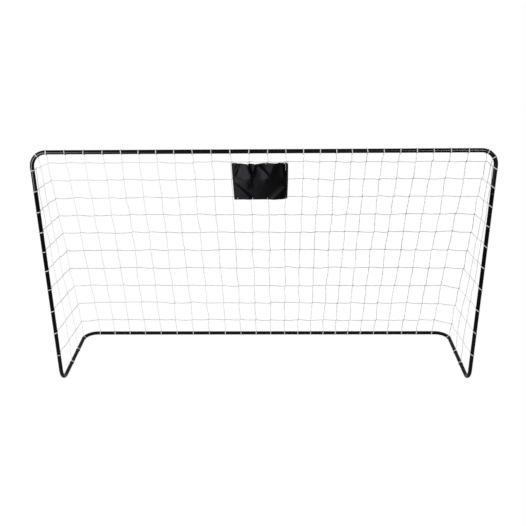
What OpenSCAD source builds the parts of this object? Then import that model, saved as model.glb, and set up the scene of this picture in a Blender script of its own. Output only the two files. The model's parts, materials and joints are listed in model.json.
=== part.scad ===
// Portable football goal: a plug-together steel tube frame with a knotted net.
// Millimetres. +Z is up, the open mouth faces -Y, and the floor is z = 0.

/* [Frame] */
// Overall width over the posts
goal_w = 2400; // [1500:10:3600]
// Overall height over the crossbar
goal_h = 1400; // [900:10:2100]
// Overall depth on the ground
goal_d = 600; // [450:10:1200]
// Outer diameter of the tube
tube_d = 22; // [18:0.5:32]
// Wall of the tube
tube_wall = 1; // [0.8:0.1:2]
// Centre-line radius of every bend
bend_r = 80; // [60:1:120]

/* [Tube joints] */
// Length of the top corner's leg along the crossbar, from the post's axis to its seam
corner_leg_x = 277; // [200:1:400]
// Length of the top corner's leg down the post, from the crossbar's axis to its seam
corner_leg_z = 204; // [180:1:400]
// Height of the foot's leg up the post, from the ground bar's axis to its seam
foot_leg_z = 250; // [180:1:400]
// Length of the foot's leg along the ground, from the post's axis to its seam
foot_leg_y = 290; // [200:1:320]
// Length of the rear corner's leg along the rear bar, from the side bar's axis to its seam
rear_leg_x = 235; // [200:1:400]
// How far left of the middle the seams of the two long bars lie
middle_seam_offset = 18; // [0:1:60]
// Length of a swaged end inside the next tube
spigot_len = 46; // [40:1:80]
// Length of the taper from the full tube down to the swaged end
shoulder_len = 2; // [1:0.5:5]
// Gap all round between a swaged end and the tube over it
spigot_gap = 0.2; // [0.1:0.05:0.5]

/* [Spring buttons] */
// Diameter of a button
button_d = 6; // [5:0.5:8]
// Gap all round between a button and its holes
button_gap = 0.3; // [0.2:0.05:0.6]
// How far a button stands out of the tube
button_out = 2.5; // [2:0.1:4]
// Distance from a seam to the button beyond it
button_setback = 24; // [18:1:36]
// Height of the rounded top of a button
button_dome = 1.2; // [0.8:0.1:1.5]
// Width of the rim that keeps a button in
button_rim = 1.2; // [0.8:0.1:1.5]
// Thickness of that rim
button_rim_t = 0.8; // [0.6:0.1:1.2]
// Thickness of the leaf spring's steel
spring_t = 0.6; // [0.4:0.1:0.8]
// Width of the leaf spring
spring_w = 7; // [5:0.5:8]
// Distance from a button back to the bend of its leaf spring
spring_back = 20; // [16:1:22]

/* [Net] */
// Number of meshes across the back
net_columns = 25; // [12:1:27]
// Number of cords that run across the net
net_rows = 10; // [6:1:10]
// Thickness of the net cord
cord_d = 2; // [1.5:0.5:3]
// Distance down the slope from the crossbar's axis to the first cross cord
first_row = 69; // [60:1:120]
// Distance up the slope from the rear bar's axis to the last cross cord
last_row = 144; // [100:1:200]
// Height of the lowest loop on a post above the ground bar's axis
lowest_loop = 182; // [140:1:200]
// Distance from the crossbar's axis down to the highest loop on a post
highest_loop = 94; // [90:1:140]
// How much closer the cross cords lie at the top than at the bottom, as a share
row_growth = 0.21; // [0:0.01:0.4]
// How far the middle loops have slid to the right along the crossbar
crossbar_drift = 62; // [0:1:90]
// How far the crossbar's loops crowd toward its middle
crossbar_crowd = 4; // [0:1:20]
// How far the crossbar's loops are pushed apart in one stretch of it, to the left and to the right
crossbar_parting = 15.5; // [0:0.5:20]
// Where that stretch starts, from the left end
parting_start = 355; // [200:5:700]
// Where that stretch ends, from the left end
parting_end = 1710; // [1400:5:2000]
// How far the middle loops have slid to the right along the rear bar
rear_drift = 55; // [0:1:90]
// How far the rear bar's loops crowd toward its middle
rear_crowd = 16; // [0:1:20]
// How far the rear bar's loops stray from that, three times along it
rear_sway = 24; // [0:1:30]
// How much nearer the posts the side nets' upright cords lie at the top than at the foot, as a share
side_growth = 0.25; // [0:0.01:0.3]
// How far the loops on the left post have slid down it where they slid furthest
left_slip = 27; // [0:1:40]
// How far round its bend, from the crossbar, the net's left edge is tied
left_fold_turn = 0; // [0:1:30]
// How far round its bend, from the crossbar, the net's right edge is tied
right_fold_turn = 24; // [0:1:30]
// How far round its bend the top left corner's own loop is
left_corner_turn = 37; // [36:1:70]
// How far round its bend the top right corner's own loop is
right_corner_turn = 55; // [50:1:70]
// How far round its bend, from the rear bar, a rear corner's loop is
rear_corner_turn = 78; // [45:1:90]
// Width of a loop along its tube: two turns of cord
loop_w = 5.5; // [2:0.5:8]
// Gap between the net's parts and what they are tied to
tie_gap = 0.3; // [0.2:0.05:0.5]

/* [Cloth panel] */
// Width of the panel
panel_w = 288; // [200:1:400]
// Height of the panel down the slope
panel_h = 252; // [150:1:350]
// Thickness of the panel with its hem
panel_t = 1; // [0.6:0.1:2]
// How far the panel's left edge lies left of the middle
panel_left = 159; // [80:1:200]
// How far the highest fold stands out of the panel
fold_height = 6; // [2:0.5:8]
// Half width of a fold
fold_w = 15; // [10:1:25]

/* [Hidden] */
$fn = 32;
tube_r = tube_d / 2;
axis_x = goal_w / 2 - tube_r;            // post and side bar axes at x = +-axis_x
axis_front = -goal_d / 2 + tube_r;       // post and crossbar axes at this y
axis_rear = goal_d / 2 - tube_r;         // rear bar axis at this y
axis_low = tube_r;                       // ground bar axes at this z
axis_top = goal_h - tube_r;              // crossbar axis at this z
bar_depth = axis_rear - axis_front;
bar_rise = axis_top - axis_low;
slope_len = norm([bar_depth, bar_rise]);
slope = atan2(bar_depth, bar_rise);      // how far the back net leans off the vertical
over = 1;                                // how far a cut runs past the face it opens

spigot_r = tube_r - tube_wall - spigot_gap;
spigot_bore_r = spigot_r - tube_wall;
corner_seam_x = axis_x - corner_leg_x;
corner_seam_z = axis_top - corner_leg_z;
foot_seam_z = axis_low + foot_leg_z;
foot_seam_y = axis_front + foot_leg_y;
rear_seam_x = axis_x - rear_leg_x;

// Heights of a button's faces above its tube's axis
rim_r = button_d / 2 + button_rim;
rim_top = sqrt(pow(spigot_bore_r, 2) - pow(rim_r, 2)) - spigot_gap;
rim_base = rim_top - button_rim_t;
button_top = tube_r + button_out;
dome_r = (pow(button_d / 2, 2) + pow(button_dome, 2)) / (2 * button_dome);
spring_gap = 0.1;
spring_top = rim_base - spring_gap;      // the leaf's face under the rim
spring_bottom = -sqrt(pow(spigot_bore_r, 2) - pow(spring_w / 2, 2)) + spigot_gap;
spring_bend_r = 2.5 * spring_t;
spring_tail = 5;                         // how far the leaf runs on past the button

// The tube joints: name, seam, direction into the outer tube, direction the button points
LEFT = [-1, 0, 0]; RIGHT = [1, 0, 0]; FRONT = [0, -1, 0]; BACK = [0, 1, 0]; UP = [0, 0, 1]; DOWN = [0, 0, -1];
JOINTS = [
    ["crossbar_left", [-corner_seam_x, axis_front, axis_top], RIGHT, FRONT],
    ["crossbar_right", [corner_seam_x, axis_front, axis_top], LEFT, BACK],
    ["crossbar_middle", [-middle_seam_offset, axis_front, axis_top], RIGHT, BACK],
    ["post_left_top", [-axis_x, axis_front, corner_seam_z], DOWN, BACK],
    ["post_right_top", [axis_x, axis_front, corner_seam_z], DOWN, FRONT],
    ["post_left_bottom", [-axis_x, axis_front, foot_seam_z], UP, BACK],
    ["post_right_bottom", [axis_x, axis_front, foot_seam_z], UP, BACK],
    ["side_left", [-axis_x, foot_seam_y, axis_low], FRONT, LEFT],
    ["side_right", [axis_x, foot_seam_y, axis_low], FRONT, RIGHT],
    ["rear_left", [-rear_seam_x, axis_rear, axis_low], RIGHT, FRONT],
    ["rear_right", [rear_seam_x, axis_rear, axis_low], LEFT, FRONT],
    ["rear_middle", [-middle_seam_offset, axis_rear, axis_low], RIGHT, FRONT],
];
function joint(name) = [for (j = JOINTS) if (j[0] == name) j][0];

// Places the children at a tube joint: x along the swaged end from the seam, z towards the button
module at_joint(name) {
    j = joint(name);
    s = j[1];
    u = j[2];
    d = j[3];
    v = cross(d, u);
    multmatrix([[u.x, v.x, d.x, s.x], [u.y, v.y, d.y, s.y], [u.z, v.z, d.z, s.z], [0, 0, 0, 1]]) children();
}
function seam(name) = joint(name)[1];
// Where the full tube of a swaged piece ends, a shoulder short of the seam
function before(name) = seam(name) - shoulder_len * joint(name)[2];
// Where a plain end's bore stops, just outside the end face
function past(name) = seam(name) - over * joint(name)[2];
function unit(v) = v / norm(v);

// A straight round rod from one point to another
module rod(from, to, r) {
    run = to - from;
    translate(from) rotate([0, acos(run.z / norm(run)), atan2(run.y, run.x)]) cylinder(h = norm(run), r = r);
}

// A rod from end_a round the bend at a corner of the frame to end_b
module elbow(corner, end_a, end_b, r) {
    a = unit(end_a - corner);
    b = unit(end_b - corner);
    n = cross(b, a);
    m = corner + bend_r * (a + b);
    rod(end_a, corner + bend_r * a, r);
    multmatrix([[-b.x, -a.x, n.x, m.x], [-b.y, -a.y, n.y, m.y], [-b.z, -a.z, n.z, m.z], [0, 0, 0, 1]])
        rotate_extrude(angle = 90) translate([bend_r, 0]) circle(r = r);
    rod(corner + bend_r * b, end_b, r);
}

// The swaged end of a joint: taper and spigot, thinner all over by shrink, longer by reach
module swage(name, shrink = 0, reach = 0)
    at_joint(name) rotate([0, 90, 0]) {
        cylinder(h = spigot_len + reach, r = spigot_r - shrink);
        translate([0, 0, -shoulder_len])
            cylinder(h = shoulder_len, r1 = tube_r - shrink, r2 = spigot_r - shrink);
    }

// The hole for a joint's button, through one side of the tube
module button_hole(name)
    at_joint(name) translate([button_setback, 0, 0]) cylinder(h = tube_d, r = button_d / 2 + button_gap);

// A straight tube between two seams with both ends plain
module plain_tube(start, end) color(STEEL) difference() {
    rod(seam(start), seam(end), tube_r);
    rod(past(start), past(end), tube_r - tube_wall);
    button_hole(start);
    button_hole(end);
}

// A straight tube with a plain start and a swaged end
module swaged_tube(start, end) color(STEEL) difference() {
    union() {
        rod(seam(start), before(end), tube_r);
        swage(end);
    }
    rod(past(start), before(end), tube_r - tube_wall);
    swage(end, tube_wall, over);
    button_hole(start);
    button_hole(end);
}

// A bent tube with both ends swaged
module swaged_elbow(corner, first, second) color(STEEL) difference() {
    union() {
        elbow(corner, before(first), before(second), tube_r);
        swage(first);
        swage(second);
    }
    elbow(corner, before(first), before(second), tube_r - tube_wall);
    swage(first, tube_wall, over);
    swage(second, tube_wall, over);
    button_hole(first);
    button_hole(second);
}

// A foot: swaged at the top of its short upright leg, plain at the end of its ground leg
module foot(side, up, back) color(STEEL) difference() {
    union() {
        elbow(low_front(side), before(up), seam(back), tube_r);
        swage(up);
    }
    elbow(low_front(side), before(up), past(back), tube_r - tube_wall);
    swage(up, tube_wall, over);
    button_hole(up);
    button_hole(back);
}
function top_front(side) = [side * axis_x, axis_front, axis_top];
function low_front(side) = [side * axis_x, axis_front, axis_low];
function low_rear(side) = [side * axis_x, axis_rear, axis_low];

// A spring button, standing out through both walls of its joint
module button(name) color(ZINC) at_joint(name) translate([button_setback, 0, 0]) {
    intersection() {
        translate([0, 0, rim_base]) cylinder(h = button_top - rim_base, r = button_d / 2);
        translate([0, 0, button_top - dome_r]) {
            sphere(r = dome_r);
            mirror([0, 0, 1]) cylinder(h = button_top, r = button_d / 2 + over);
        }
    }
    translate([0, 0, rim_base]) cylinder(h = button_rim_t, r = rim_r);
}

// The V-shaped leaf behind a button: one leg along the far wall, the other under the button
module leaf_spring(name) color(ZINC) at_joint(name)
    translate([button_setback, 0, 0]) rotate([90, 0, 0]) linear_extrude(height = spring_w, center = true)
        polygon(concat(
            [[spring_tail, spring_bottom]],
            spring_bend(spring_bend_r, 270, 90),
            [[-spring_tail, spring_top], [spring_tail, spring_top]],
            [[spring_tail, spring_top - spring_t], [-spring_tail, spring_top - spring_t]],
            spring_bend(spring_bend_r - spring_t, 90, 270),
            [[spring_tail, spring_bottom + spring_t]]
        ));
function spring_bend(r, from, to) = [
    for (a = [from:(to - from) / 6:to]) [-spring_back, spring_bottom + spring_bend_r] + r * [cos(a), sin(a)]
];

// Where the buttons are along each tube, and the least distance from one to a loop's middle
function button_at(name, axis) = seam(name)[axis] + button_setback * joint(name)[2][axis];
CROSSBAR_BUTTONS = [for (n = ["crossbar_left", "crossbar_middle", "crossbar_right"]) button_at(n, 0)];
REAR_BUTTONS = [for (n = ["rear_left", "rear_middle", "rear_right"]) button_at(n, 0)];
LEFT_POST_BUTTONS = [for (n = ["post_left_top", "post_left_bottom"]) button_at(n, 2)];
RIGHT_POST_BUTTONS = [for (n = ["post_right_top", "post_right_bottom"]) button_at(n, 2)];
SIDE_BUTTONS = [button_at("side_left", 1)];
loop_clear = (loop_w + button_d) / 2 + button_gap + tie_gap;
// A loop's place along its tube, moved to the nearer side of a button that it would cover
function beside(place, buttons, i = 0) = i == len(buttons) ? place
    : let(b = buttons[i], off = place - b)
        beside(abs(off) < loop_clear ? b + (off < 0 ? -1 : 1) * loop_clear : place, buttons, i + 1);

// Share of the way down at which cross cord i lies, closer together near the top
function row_share(i) = let(t = i / (net_rows - 1)) t - row_growth * t * (1 - t);
// Distance of cross cord i down the slope, and height of its loop on the post
function row_s(i) = first_row + (slope_len - first_row - last_row) * row_share(i);
function slip(side, i) = let(t = i / (net_rows - 1)) side < 0 && t < 2 / 3 ? left_slip * sin(270 * t) : 0;
function row_z(side, i) = beside(
    axis_top - highest_loop - (bar_rise - highest_loop - lowest_loop) * row_share(i) - slip(side, i),
    side < 0 ? LEFT_POST_BUTTONS : RIGHT_POST_BUTTONS);
// Column j's cord at a distance s down the slope: it fans out from the crossbar to the rear bar
function parting(t) = let(u = (2 * axis_x * t - parting_start) / (parting_end - parting_start))
    u > 0 && u < 1 ? crossbar_parting * sin(360 * u) : 0;
function spread_x(j, down) = let(t = j / net_columns)
    (2 * t - 1) * (axis_x - bend_r * (1 - down))
        + bend_r * (1 - down) * (sin(right_fold_turn) * pow(t, 16) - sin(left_fold_turn) * pow(1 - t, 16))
        + (1 - down) * (crossbar_drift * sin(180 * t) + crossbar_crowd * sin(360 * t) - parting(t))
        + down * (rear_drift * sin(180 * t) + rear_crowd * sin(360 * t) - rear_sway * sin(540 * t));
function crossbar_x(j) = beside(spread_x(j, 0), CROSSBAR_BUTTONS);
function rear_x(j) = beside(spread_x(j, 1), REAR_BUTTONS);
function column_x(j, s) = let(down = s / slope_len) (1 - down) * crossbar_x(j) + down * rear_x(j);

loop_in = tube_r + tie_gap;              // inner face of a loop, from its tube's axis
loop_out = loop_in + cord_d;             // outer face
cord_start = loop_out + tie_gap;         // where the cords that a loop holds start
half = cord_d / 2;
slant = 0.75 * cord_d;                   // how much further off a cord that comes at a slant starts

// Places the children in the back net's plane: x across, y down the slope, z out of the back
module on_slope() translate([0, axis_front, axis_top]) rotate([slope - 90, 0, 0]) children();
function slope_point(x, s) = [x, axis_front + s * sin(slope), axis_top - s * cos(slope)];

// A point on the bend at a corner, some degrees round from the leg along a to the leg along b
function on_bend(corner, a, b, turn) = corner + bend_r * ((1 - sin(turn)) * a + (1 - cos(turn)) * b);
// The tube's direction there
function along_bend(a, b, turn) = b * sin(turn) - a * cos(turn);
// Where the net is tied round a tube: the loop's middle, the tube's direction, and the way to the net
DOWN_SLOPE = [0, sin(slope), -cos(slope)];
function fold_turn(side) = side < 0 ? left_fold_turn : right_fold_turn;
function bent_tie(side, turn, toward) = [
    on_bend(top_front(side), [-side, 0, 0], DOWN, turn), along_bend([-side, 0, 0], DOWN, turn), toward];
function crossbar_tie(j) = j > 0 && j < net_columns
    ? [[crossbar_x(j), axis_front, axis_top], RIGHT, DOWN_SLOPE]
    : let(side = j == 0 ? -1 : 1) bent_tie(side, fold_turn(side), DOWN_SLOPE);
function corner_tie(side) = bent_tie(side, side < 0 ? left_corner_turn : right_corner_turn, BACK);
function rear_tie(j) = [[rear_x(j), axis_rear, axis_low], RIGHT, -DOWN_SLOPE];
function rear_corner_tie(side) = [
    on_bend(low_rear(side), [-side, 0, 0], FRONT, rear_corner_turn),
    along_bend([-side, 0, 0], FRONT, rear_corner_turn), UP];
function post_tie(side, i) = [[side * axis_x, axis_front, row_z(side, i)], UP, BACK];
function side_tie(side, f) = [[side * axis_x, foot_y(side, f), axis_low], BACK, UP];
function way(tie) = unit(tie[2] - (tie[2] * tie[1]) * tie[1]);
// Where a cord that is tied there starts
function tied_at(tie, extra = 0) = tie[0] + (cord_start + extra) * way(tie);
function down_slope(p) = (p - [0, axis_front, axis_top]) * DOWN_SLOPE;

// The back net: its outline is open between the loops, and its meshes are holes in one flat grid
module net_back() color(CORD) on_slope() linear_extrude(height = cord_d, center = true) {
    last = net_rows - 1;
    s_end = slope_len - cord_start;
    s_first = row_s(0) - half;
    s_last = row_s(last) + half;
    outline = [
        for (j = [0:net_columns])
            let(tie = crossbar_tie(j), p = tied_at(tie, half * abs(tie[1].z)), s_top = down_slope(p)) each [
                [column_x(j, s_first) - half, s_first], [p.x - half, s_top],
                [p.x + half, s_top], [column_x(j, s_first) + half, s_first],
            ],
        [column_x(net_columns, s_last) + half, s_last],
        for (j = [net_columns - 1:-1:1]) each [
            [column_x(j, s_last) + half, s_last], [column_x(j, s_end) + half, s_end],
            [column_x(j, s_end) - half, s_end], [column_x(j, s_last) - half, s_last],
        ],
        [column_x(0, s_last) - half, s_last],
    ];
    meshes = [
        for (i = [0:last - 1], j = [0:net_columns - 1])
            let(a = row_s(i) + half, b = row_s(i + 1) - half) [
                [column_x(j, a) + half, a], [column_x(j + 1, a) - half, a],
                [column_x(j + 1, b) - half, b], [column_x(j, b) + half, b],
            ]
    ];
    n = len(outline);
    polygon(
        points = concat(outline, [for (m = meshes) each m]),
        paths = concat([[for (k = [0:n - 1]) k]],
            [for (m = [0:len(meshes) - 1]) [for (k = [0:3]) n + 4 * m + k]])
    );
}

// Points of the side net: cross cord i runs from the post to the fold, f of the way along it
function side_cords(side) = side < 0 ? [0.41, 0.73] : [0.39, 0.685];
function post_point(side, i) = tied_at(post_tie(side, i), slant);
function fold_knot(side, i) = slope_point(column_x(side < 0 ? 0 : net_columns, row_s(i)), row_s(i));
function fold_point(side, i) = let(p = post_point(side, i), q = fold_knot(side, i))
    q + (2 * slant + tie_gap) * unit(p - q);
function side_point(side, i, f) = let(g = f - side_growth * (1 - i / (net_rows - 1)))
    (1 - g) * post_point(side, i) + g * fold_point(side, i);
// Where side cord f is looped to the side bar
function foot_y(side, f) = beside(side_point(side, net_rows - 1, f).y, SIDE_BUTTONS);

// A straight square cord between two points
module cord(from, to) {
    run = to - from;
    translate(from) rotate([0, acos(run.z / norm(run)), atan2(run.y, run.x)])
        translate([-half, -half, 0]) cube([cord_d, cord_d, norm(run)]);
}
module net_side(side) color(CORD) {
    last = net_rows - 1;
    for (i = [0:last]) cord(post_point(side, i), fold_point(side, i));
    for (f = side_cords(side)) {
        for (i = [0:last - 1]) cord(side_point(side, i, f), side_point(side, i + 1, f));
        cord(side_point(side, last, f), tied_at(side_tie(side, f), slant));
    }
    cord(side_point(side, 0, side_cords(side)[1]), tied_at(corner_tie(side), slant));
    cord(fold_point(side, last), tied_at(rear_corner_tie(side), slant));
}

// One loop of cord round a tube, with a flat towards the net
module loop(tie) {
    at = tie[0];
    z = tie[1];
    x = way(tie);
    y = cross(z, x);
    multmatrix([[x.x, y.x, z.x, at.x], [x.y, y.y, z.y, at.y], [x.z, y.z, z.z, at.z], [0, 0, 0, 1]])
        rotate(22.5) linear_extrude(height = loop_w, center = true) difference() {
            circle(r = loop_out / cos(22.5), $fn = 8);
            circle(r = loop_in / cos(22.5), $fn = 8);
        }
}
module above_floor() difference() {
    children();
    translate([-goal_w, -goal_d, -tube_d]) cube([2 * goal_w, 2 * goal_d, tube_d]);
}
module crossbar_loops() color(CORD) {
    for (j = [0:net_columns]) loop(crossbar_tie(j));
    for (side = [-1, 1]) loop(corner_tie(side));
}
module rear_bar_loops() color(CORD) above_floor() {
    for (j = [1:net_columns - 1]) loop(rear_tie(j));
    for (side = [-1, 1]) loop(rear_corner_tie(side));
}
module post_loops(side) color(CORD)
    for (i = [0:net_rows - 1]) loop(post_tie(side, i));
module side_loops(side) color(CORD) above_floor()
    for (f = side_cords(side)) loop(side_tie(side, f));

// The cloth panel's folds: each from and to, in shares of its width and height, and its share of fold_height
FOLDS = [
    [[0.17, 0.00], [0.03, 0.40], 0.8],
    [[0.30, 0.02], [0.21, 0.36], 0.6],
    [[0.31, 0.02], [0.42, 0.34], 0.7],
    [[0.62, 0.02], [0.50, 0.24], 0.6],
    [[0.73, 0.01], [0.67, 0.38], 1.0],
    [[0.86, 0.03], [0.93, 0.34], 0.5],
    [[0.96, 0.64], [0.74, 0.98], 0.8],
    [[0.03, 0.60], [0.23, 0.96], 0.7],
];
PANEL_CELLS = [17, 15];
function line_gap(p, a, b) = let(d = b - a, t = max(0, min(1, (p - a) * d / (d * d)))) norm(p - a - t * d);
function total(v, i = 0) = i < len(v) ? v[i] + total(v, i + 1) : 0;
function on_panel(share) = [share.x * panel_w, share.y * panel_h];
function folded(p) = fold_height
    * total([for (f = FOLDS) f[2] * exp(-pow(line_gap(p, on_panel(f[0]), on_panel(f[1])) / fold_w, 2))]);

// The cloth panel: a thin folded sheet in front of the net, from its first cross cord down
module cloth_panel() color(CLOTH) on_slope() translate([-panel_left, first_row, -(half + tie_gap)]) {
    nx = PANEL_CELLS.x;
    ny = PANEL_CELLS.y;
    layer = (nx + 1) * (ny + 1);
    at = function(i, j, side) side * layer + j * (nx + 1) + i;
    points = [
        for (side = [0, 1], j = [0:ny], i = [0:nx])
            let(p = on_panel([i / nx, j / ny])) [p.x, p.y, -folded(p) - side * panel_t]
    ];
    edges = concat(
        [for (i = [0:nx - 1]) each [[[i, 0], [i + 1, 0]], [[i + 1, ny], [i, ny]]]],
        [for (j = [0:ny - 1]) each [[[nx, j], [nx, j + 1]], [[0, j + 1], [0, j]]]]
    );
    polyhedron(points, concat(
        [for (j = [0:ny - 1], i = [0:nx - 1]) each [
            [at(i, j, 0), at(i, j + 1, 0), at(i + 1, j + 1, 0)],
            [at(i, j, 0), at(i + 1, j + 1, 0), at(i + 1, j, 0)],
            [at(i, j, 1), at(i + 1, j + 1, 1), at(i, j + 1, 1)],
            [at(i, j, 1), at(i + 1, j, 1), at(i + 1, j + 1, 1)],
        ]],
        [for (e = edges) let(a = e[0], b = e[1]) each [
            [at(a.x, a.y, 0), at(b.x, b.y, 0), at(b.x, b.y, 1)],
            [at(a.x, a.y, 0), at(b.x, b.y, 1), at(a.x, a.y, 1)],
        ]]
    ));
}

STEEL = [0.06, 0.06, 0.065];
ZINC = [0.7, 0.7, 0.68];
CORD = [0.93, 0.93, 0.92];
CLOTH = [0.07, 0.07, 0.08];

swaged_tube("crossbar_left", "crossbar_middle");  // crossbar_left
plain_tube("crossbar_middle", "crossbar_right");  // crossbar_right
swaged_elbow(top_front(-1), "crossbar_left", "post_left_top");  // top_corner_left
swaged_elbow(top_front(1), "crossbar_right", "post_right_top");  // top_corner_right
plain_tube("post_left_top", "post_left_bottom");  // post_left
plain_tube("post_right_top", "post_right_bottom");  // post_right
foot(-1, "post_left_bottom", "side_left");  // foot_left
foot(1, "post_right_bottom", "side_right");  // foot_right
swaged_elbow(low_rear(-1), "side_left", "rear_left");  // rear_corner_left
swaged_elbow(low_rear(1), "side_right", "rear_right");  // rear_corner_right
swaged_tube("rear_left", "rear_middle");  // rear_bar_left
plain_tube("rear_middle", "rear_right");  // rear_bar_right
button("crossbar_left");  // button_crossbar_left
button("crossbar_right");  // button_crossbar_right
button("crossbar_middle");  // button_crossbar_middle
button("post_left_top");  // button_post_left_top
button("post_right_top");  // button_post_right_top
button("post_left_bottom");  // button_post_left_bottom
button("post_right_bottom");  // button_post_right_bottom
button("side_left");  // button_side_left
button("side_right");  // button_side_right
button("rear_left");  // button_rear_left
button("rear_right");  // button_rear_right
button("rear_middle");  // button_rear_middle
leaf_spring("crossbar_left");  // spring_crossbar_left
leaf_spring("crossbar_right");  // spring_crossbar_right
leaf_spring("crossbar_middle");  // spring_crossbar_middle
leaf_spring("post_left_top");  // spring_post_left_top
leaf_spring("post_right_top");  // spring_post_right_top
leaf_spring("post_left_bottom");  // spring_post_left_bottom
leaf_spring("post_right_bottom");  // spring_post_right_bottom
leaf_spring("side_left");  // spring_side_left
leaf_spring("side_right");  // spring_side_right
leaf_spring("rear_left");  // spring_rear_left
leaf_spring("rear_right");  // spring_rear_right
leaf_spring("rear_middle");  // spring_rear_middle
net_back();
net_side(-1);  // net_side_left
net_side(1);  // net_side_right
crossbar_loops();
rear_bar_loops();
post_loops(-1);  // post_loops_left
post_loops(1);  // post_loops_right
side_loops(-1);  // side_loops_left
side_loops(1);  // side_loops_right
cloth_panel();
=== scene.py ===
"""The looks of a portable football goal: a plug-together frame of black tube, a white knotted net
tied to it by wound loops, and a plain black cloth panel in the net.

Metres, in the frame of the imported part: +Z is up, the open mouth faces -Y, the floor is z = 0.
"""
import json
import math

import bpy
import numpy as np
from mathutils import Matrix, Vector


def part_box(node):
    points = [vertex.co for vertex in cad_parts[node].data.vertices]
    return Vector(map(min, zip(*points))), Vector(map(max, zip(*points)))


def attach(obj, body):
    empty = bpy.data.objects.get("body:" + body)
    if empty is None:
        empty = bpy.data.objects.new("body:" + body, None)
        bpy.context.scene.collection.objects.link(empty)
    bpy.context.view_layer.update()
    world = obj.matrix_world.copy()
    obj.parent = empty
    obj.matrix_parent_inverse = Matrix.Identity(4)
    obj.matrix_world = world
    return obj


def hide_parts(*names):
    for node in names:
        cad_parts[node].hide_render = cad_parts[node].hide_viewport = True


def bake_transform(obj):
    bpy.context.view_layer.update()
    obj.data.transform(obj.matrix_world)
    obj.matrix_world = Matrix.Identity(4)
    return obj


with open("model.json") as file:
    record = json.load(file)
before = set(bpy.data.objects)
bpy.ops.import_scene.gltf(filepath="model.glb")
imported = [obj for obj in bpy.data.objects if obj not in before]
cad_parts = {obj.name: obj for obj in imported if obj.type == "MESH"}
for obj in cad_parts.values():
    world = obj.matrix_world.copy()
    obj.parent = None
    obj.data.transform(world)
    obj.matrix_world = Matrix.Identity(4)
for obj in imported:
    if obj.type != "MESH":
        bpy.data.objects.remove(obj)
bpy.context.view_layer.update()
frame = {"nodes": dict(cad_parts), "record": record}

MM = 0.001
X, Y, Z = np.eye(3)
SIDES = (-1, 1)                           # left and right: the sign of x


# ---------------------------------------------------------------- sizes

def unit(v):
    return v / np.linalg.norm(v)


def middle(node, axis):
    low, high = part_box(node)
    return (low[axis] + high[axis]) / 2


post_low, post_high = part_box("post_right")
tube_r = (post_high[0] - post_low[0]) / 2
axis_x = middle("post_right", 0)          # post and side bar axes at x = +-axis_x
axis_front = middle("post_right", 1)      # post and crossbar axes at this y
axis_rear = middle("rear_bar_right", 1)
axis_low = middle("rear_bar_right", 2)    # axis of all bars on the ground
axis_top = middle("crossbar_right", 2)
bar_depth = axis_rear - axis_front
bar_rise = axis_top - axis_low
slope_len = math.hypot(bar_depth, bar_rise)
lean = math.atan2(bar_depth, bar_rise)    # how far the back net leans off the vertical
BEND_R = 80 * MM

# The back net's plane: down it from the crossbar's axis, and out of its back
DOWN = np.array([0, math.sin(lean), -math.cos(lean)])
BACK = np.array([0, math.cos(lean), math.sin(lean)])

# The net, as the part's source has it
COLUMNS = 25                              # the cords down the slope are 0 to COLUMNS
ROWS = 10                                 # the cross cords are 0 to ROWS - 1
FIRST_ROW = 69 * MM                       # the first cross cord, down the slope from the crossbar
LAST_ROW = 144 * MM                       # the last one, up the slope from the rear bar
HIGHEST_LOOP = 94 * MM                    # on a post, below the crossbar's axis
LOWEST_LOOP = 182 * MM                    # on a post, above the ground bars' axis
ROW_GROWTH = 0.21                         # how much wider apart the cross cords get further down
LEFT_SLIP = 27 * MM                       # how far the left post's upper loops have slipped down
# How far the cords down the slope have slid along a bar
CROSSBAR_DRIFT = 62 * MM                  # to the right, most in the middle
CROSSBAR_CROWD = 4 * MM                   # toward the middle, from both halves
CROSSBAR_PARTING = 15.5 * MM              # away from the middle of a stretch of the bar
PARTING_START = 355 * MM                  # that stretch's ends, from the left post's axis
PARTING_END = 1710 * MM
REAR_DRIFT = 55 * MM                      # to the right, most in the middle
REAR_CROWD = 16 * MM                      # toward the middle, from both halves
REAR_SWAY = 24 * MM                       # left at the ends and right in the middle
# The cords down each side net, in shares of the way from post to fold, and how much nearer to the
# post they start at the top
SIDE_CORDS = {-1: (0.41, 0.73), 1: (0.39, 0.685)}
SIDE_GROWTH = 0.25
# How far round the bends the net is tied, in degrees
FOLD_TURN = {-1: 0, 1: 24}                # the back net's end cords, on the top bends
CORNER_TURN = {-1: 37, 1: 55}             # each side net's rear cord, on the top bend
REAR_CORNER_TURN = 78                     # the back net's end cords, on the rear bends
TURN_FADE = 16                            # the larger, the fewer cords go with an end cord
CORD_R = 1.3 * MM
LOOP_CORD_R = 1.35 * MM
LOOP_W = 3.1 * MM                         # from a loop's first turn to its second
THICK = 1.15                              # the thicker loops' cord, as a share of LOOP_CORD_R
POST_TILT = {-1: -2 * MM, 1: 9.5 * MM}    # how far the posts' loops lean, as loop() has it
REAR_TILT = -4.5 * MM                     # the same for the rear bar's loops on the right, from
REAR_TILT_START = 0.3                     # this x on
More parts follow.
